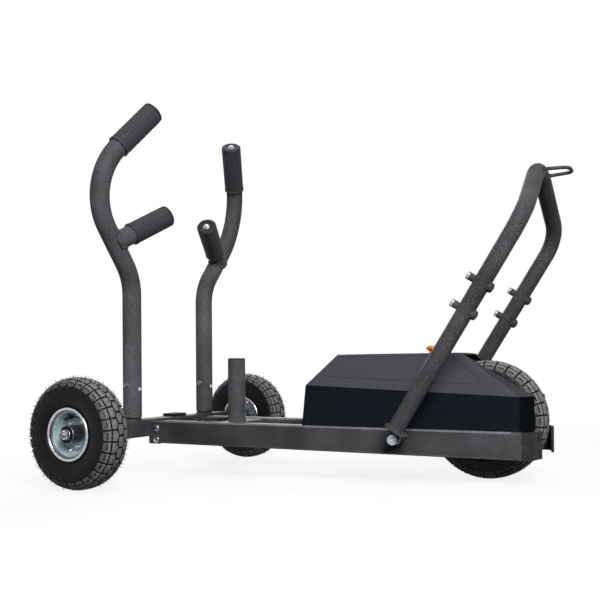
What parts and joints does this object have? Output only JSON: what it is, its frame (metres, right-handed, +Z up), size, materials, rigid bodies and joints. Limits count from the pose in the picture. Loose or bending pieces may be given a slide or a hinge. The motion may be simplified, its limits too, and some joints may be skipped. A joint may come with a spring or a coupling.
{
  "type": "weight sled",
  "caption": "Wheeled push sled with tall push handles, a weight post, a front pull arch with a tow loop, and a magnetic brake under a black cover.",
  "frame": {"origin": "centre of the footprint's bounding box, on the floor under the tyres", "axes": "+X towards the front wheel, +Y to the sled's left, +Z up"},
  "size_m": [1.2716, 0.9, 0.9955],
  "materials": {
    "charcoal_powder_coat": "textured matte",
    "zinc_plated_steel": "zinc plated",
    "tyre_rubber": "matte",
    "black_rubber": "matte",
    "black_plastic": "matte",
    "gloss_black_plastic": "gloss",
    "satin_black_plastic": "satin",
    "orange_plastic": "satin",
    "black_seal": "satin",
    "bearing_steel": "ground",
    "grey_steel_plate": "satin",
    "cast_aluminium": "cast",
    "machined_aluminium": "machined"
  },
  "bodies": {
    "frame": {"rear_beam": "charcoal_powder_coat", "rail_right": "charcoal_powder_coat", "rail_left": "charcoal_powder_coat", "push_handle_right": "charcoal_powder_coat", "push_handle_left": "charcoal_powder_coat", "handle_bolt_right": "charcoal_powder_coat", "handle_bolt_left": "charcoal_powder_coat", "weight_crossmember": "charcoal_powder_coat", "weight_post": "charcoal_powder_coat", "rear_axle": "zinc_plated_steel", "rear_axle_nut_right": "zinc_plated_steel", "rear_axle_nut_left": "zinc_plated_steel", "front_axle": "zinc_plated_steel", "front_axle_nut": "zinc_plated_steel", "bracket_bolt_right_upper": "zinc_plated_steel", "bracket_bolt_right_lower": "zinc_plated_steel", "bracket_bolt_left_upper": "zinc_plated_steel", "bracket_bolt_left_lower": "zinc_plated_steel", "pivot_bolt_right": "zinc_plated_steel", "pivot_bolt_left": "zinc_plated_steel", "upper_grip_right": "black_rubber", "upper_grip_left": "black_rubber", "peg_grip_right": "black_rubber", "peg_grip_left": "black_rubber", "beam_pad": "black_rubber", "drive_belt": "black_rubber", "upper_grip_cap_right": "black_plastic", "upper_grip_cap_left": "black_plastic", "peg_grip_cap_right": "black_plastic", "peg_grip_cap_left": "black_plastic", "weight_post_cap": "black_plastic", "cover_box": "gloss_black_plastic", "cover_hood": "satin_black_plastic", "brake_bearing_right": "bearing_steel", "brake_bearing_left": "bearing_steel", "drive_plate_right": "grey_steel_plate", "drive_plate_left": "grey_steel_plate"},
    "wheel_right": {"rear_right_tyre": "tyre_rubber", "rear_right_rim": "zinc_plated_steel", "rear_right_hub": "zinc_plated_steel", "rear_right_bearings": "black_seal"},
    "wheel_left": {"rear_left_tyre": "tyre_rubber", "rear_left_rim": "zinc_plated_steel", "rear_left_hub": "zinc_plated_steel", "rear_left_bearings": "black_seal"},
    "front_wheel": {"front_tyre": "tyre_rubber", "front_rim": "zinc_plated_steel", "front_hub": "zinc_plated_steel", "front_bearings": "black_seal", "front_pulley": "cast_aluminium"},
    "brake_rotor": {"brake_shaft": "zinc_plated_steel", "brake_disc": "machined_aluminium"},
    "magnet_carrier": {"magnet_carrier": "cast_aluminium"},
    "selector": {"selector_knob": "orange_plastic"},
    "arch": {"front_arch": "charcoal_powder_coat", "tow_loop": "charcoal_powder_coat", "arch_bolt_right_upper": "zinc_plated_steel", "arch_bolt_right_lower": "zinc_plated_steel", "arch_bolt_left_upper": "zinc_plated_steel", "arch_bolt_left_lower": "zinc_plated_steel"}
  },
  "joints": [
    {"name": "right_wheel_spin", "type": "hinge", "parent": "frame", "child": "wheel_right", "pos_m": [-0.49614, -0.39275, 0.1399], "axis": [0, 1, 0], "continuous": true},
    {"name": "left_wheel_spin", "type": "hinge", "parent": "frame", "child": "wheel_left", "pos_m": [-0.49614, 0.39275, 0.1399], "axis": [0, 1, 0], "continuous": true},
    {"name": "front_wheel_spin", "type": "hinge", "parent": "frame", "child": "front_wheel", "pos_m": [0.42001, 0, 0.1399], "axis": [0, 1, 0], "continuous": true},
    {"name": "brake_rotor_spin", "type": "hinge", "parent": "frame", "child": "brake_rotor", "pos_m": [0.14586, 0, 0.18075], "axis": [0, 1, 0], "continuous": true},
    {"name": "selector_turn", "type": "hinge", "parent": "frame", "child": "selector", "pos_m": [0.28003, 0, -0.02945], "axis": [0.0377, 0, 0.9993], "range_deg": [0, 120]},
    {"name": "carrier_swing", "type": "hinge", "parent": "frame", "child": "magnet_carrier", "pos_m": [0.25293, 0, 0.23376], "axis": [0, 1, 0], "range_deg": [0, 15]},
    {"name": "arch_fold", "type": "hinge", "parent": "frame", "child": "arch", "pos_m": [0.2461, 0, 0.10573], "axis": [0, -1, 0], "range_deg": [0, 110]}
  ],
  "couplings": [
    {"joint": "brake_rotor_spin", "follows": "front_wheel_spin", "ratio": 3.645},
    {"joint": "carrier_swing", "follows": "selector_turn", "ratio": 0.125}
  ]
}
